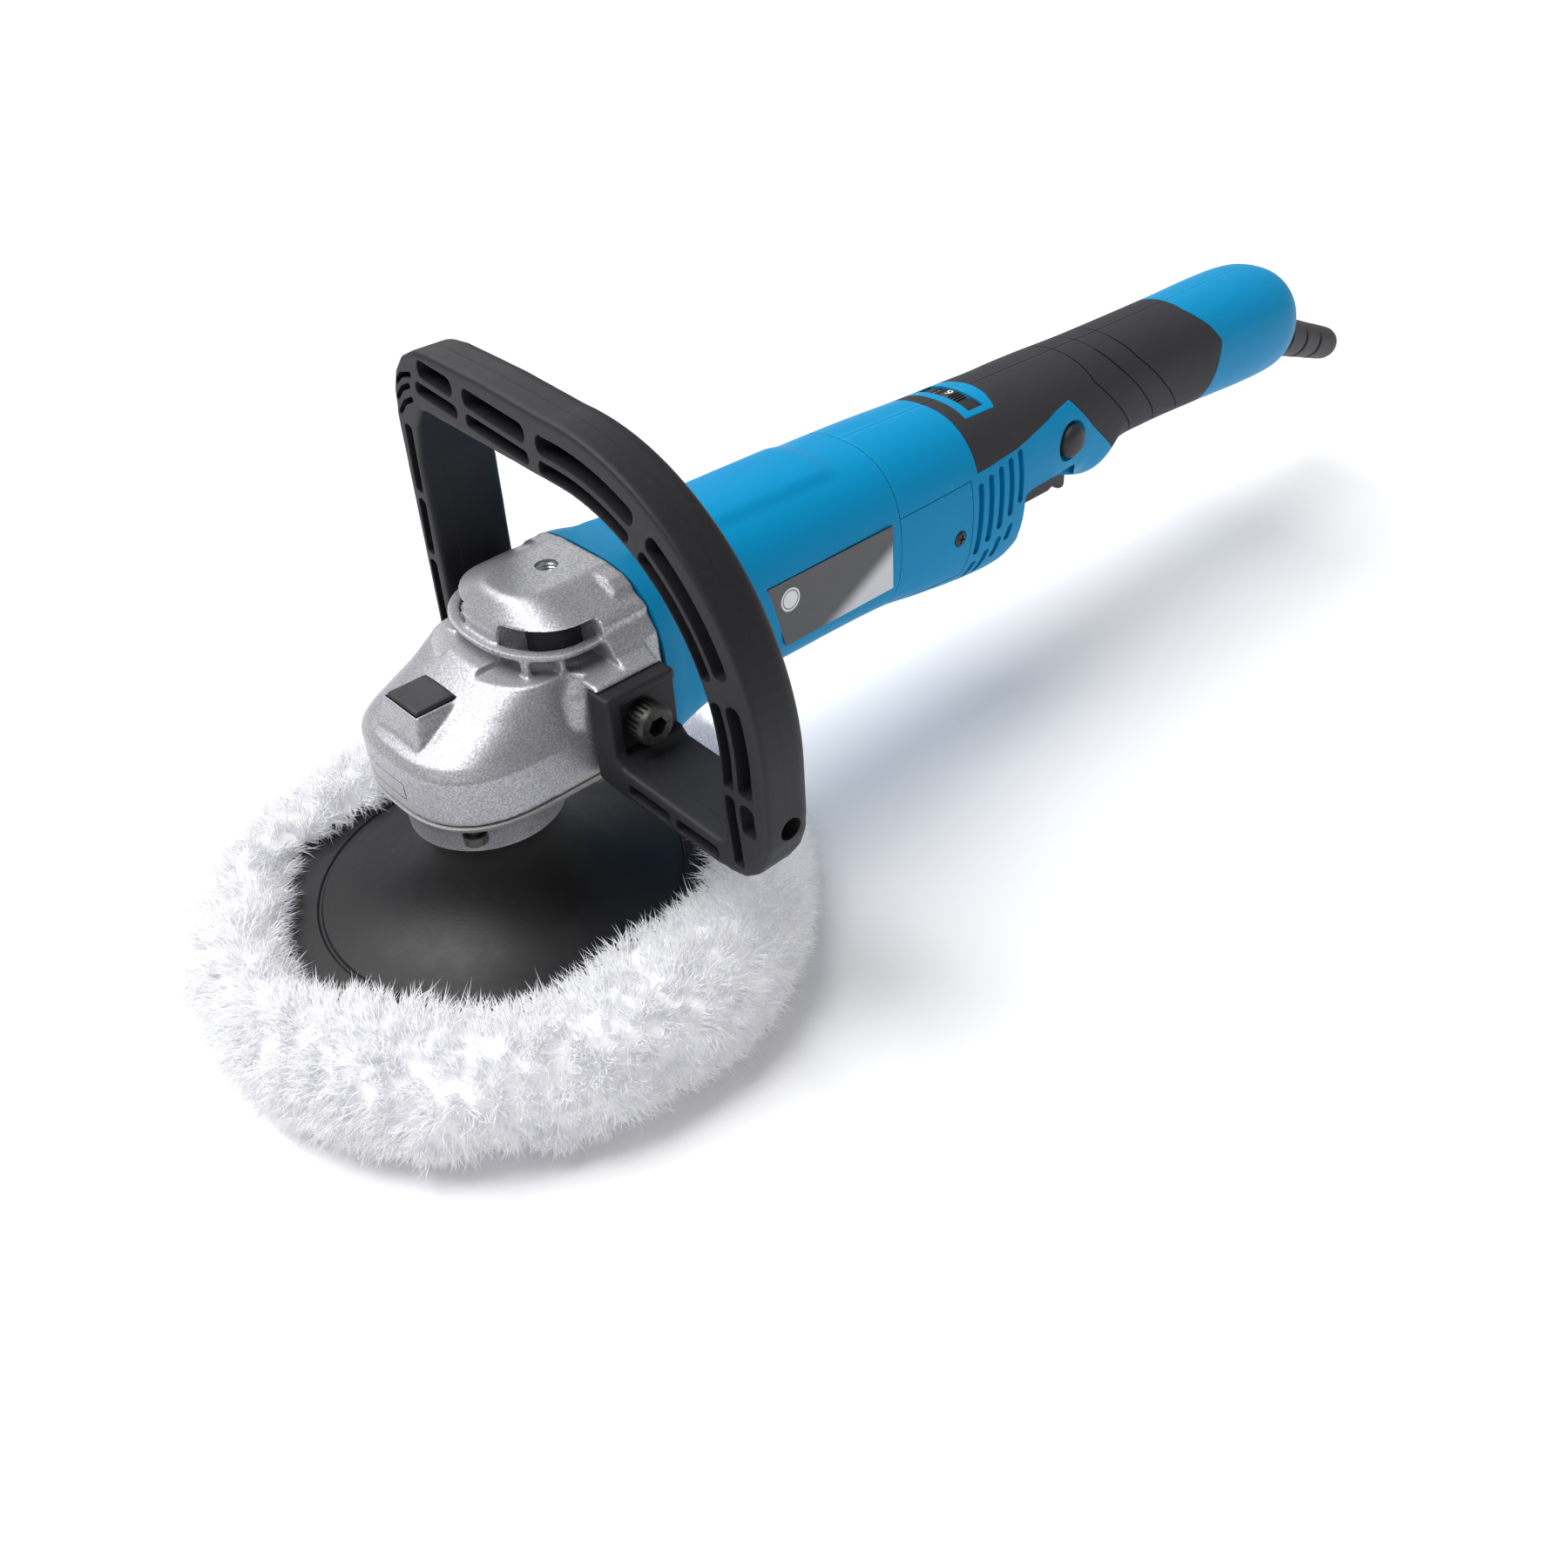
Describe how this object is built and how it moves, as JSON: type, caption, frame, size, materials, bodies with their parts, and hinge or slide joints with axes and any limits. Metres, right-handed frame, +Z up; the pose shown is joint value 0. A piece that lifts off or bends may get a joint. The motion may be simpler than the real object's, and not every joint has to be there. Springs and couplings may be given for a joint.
{
  "type": "rotary polisher",
  "caption": "Corded rotary polisher: blue body, silver bevel gearbox, black D-shaped front handle, rubber grip, backing pad and white wool bonnet.",
  "frame": {"origin": "spindle axis at the working face of the bonnet", "axes": "+X rearwards along the body and grip, +Z up along the spindle out of the bonnet, +Y to the side away from the free side of the D-handle bow"},
  "size_m": [0.6195, 0.2217, 0.1975],
  "materials": {
    "cast_silver": "satin",
    "blue_plastic": "satin",
    "grip_rubber": "matte",
    "black_nylon": "satin",
    "soft_black": "satin",
    "wool": "matte",
    "black_steel": "satin",
    "bright_steel": "satin",
    "laminations": "satin",
    "copper": "satin",
    "brass": "satin",
    "carbon": "matte",
    "label": "satin",
    "circuit_green": "gloss"
  },
  "bodies": {
    "tool_body": {"gear_case": "cast_silver", "gearbox_cover": "cast_silver", "cover_screw_1": "black_steel", "cover_screw_2": "black_steel", "cover_screw_3": "black_steel", "cover_screw_4": "black_steel", "spindle_bearing_lower": "bright_steel", "spindle_seal": "soft_black", "spindle_bearing_upper": "bright_steel", "front_bearing": "bright_steel", "fan_baffle": "black_nylon", "stator_core": "laminations", "field_coil_upper": "copper", "field_coil_lower": "copper", "rear_bearing": "bright_steel", "brush_holder_left": "brass", "carbon_brush_left": "carbon", "brush_holder_right": "brass", "carbon_brush_right": "carbon", "motor_housing": "blue_plastic", "label_plate_left": "label", "label_plate_right": "label", "rear_housing_left": "blue_plastic", "grip_cover_left": "grip_rubber", "brush_door_left": "blue_plastic", "door_screw_left": "black_steel", "rear_housing_right": "blue_plastic", "grip_cover_right": "grip_rubber", "brush_door_right": "blue_plastic", "door_screw_right": "black_steel", "housing_screw_1": "black_steel", "housing_screw_2": "black_steel", "housing_screw_3": "black_steel", "switch_body": "black_nylon", "speed_module": "circuit_green", "trigger_pin": "bright_steel", "d_handle": "black_nylon", "handle_bolt_left": "black_steel", "handle_bolt_right": "black_steel", "cord_sleeve": "soft_black"},
    "spindle_body": {"spindle": "bright_steel", "ring_gear": "bright_steel", "pad_hub": "bright_steel", "backing_pad": "soft_black", "wool_bonnet": "wool"},
    "armature_body": {"armature_shaft": "bright_steel", "bevel_pinion": "bright_steel", "cooling_fan": "black_nylon", "armature_core": "laminations", "commutator": "copper"},
    "trigger_body": {"trigger": "black_nylon"},
    "lock_on_body": {"lock_on_button": "black_nylon"},
    "spindle_lock_body": {"spindle_lock_button": "black_nylon", "lock_pin": "bright_steel"},
    "dial_body": {"speed_dial": "black_nylon"}
  },
  "joints": [
    {"name": "spindle_spin", "type": "hinge", "parent": "tool_body", "child": "spindle_body", "pos_m": [0, 0, 0.065], "axis": [0, 0, 1], "continuous": true},
    {"name": "armature_spin", "type": "hinge", "parent": "tool_body", "child": "armature_body", "pos_m": [0.1, 0, 0.0975], "axis": [1, 0, 0], "continuous": true},
    {"name": "trigger_pull", "type": "hinge", "parent": "tool_body", "child": "trigger_body", "pos_m": [0.256, 0, 0.075], "axis": [0, -1, 0], "range_deg": [0, 8], "stiffness_Nm_per_rad": 0.8},
    {"name": "lock_on_press", "type": "slide", "parent": "tool_body", "child": "lock_on_body", "axis": [0, 1, 0], "range_m": [0, 0.003], "stiffness_N_per_m": 250},
    {"name": "spindle_lock_press", "type": "slide", "parent": "tool_body", "child": "spindle_lock_body", "axis": [0, 0, -1], "range_m": [0, 0.004], "stiffness_N_per_m": 300},
    {"name": "speed_dial_turn", "type": "hinge", "parent": "tool_body", "child": "dial_body", "pos_m": [0.2214, 0, 0.1134], "axis": [1, 0, 0], "range_deg": [0, 180]}
  ],
  "couplings": [
    {"joint": "armature_spin", "follows": "spindle_spin", "ratio": 3.75}
  ]
}
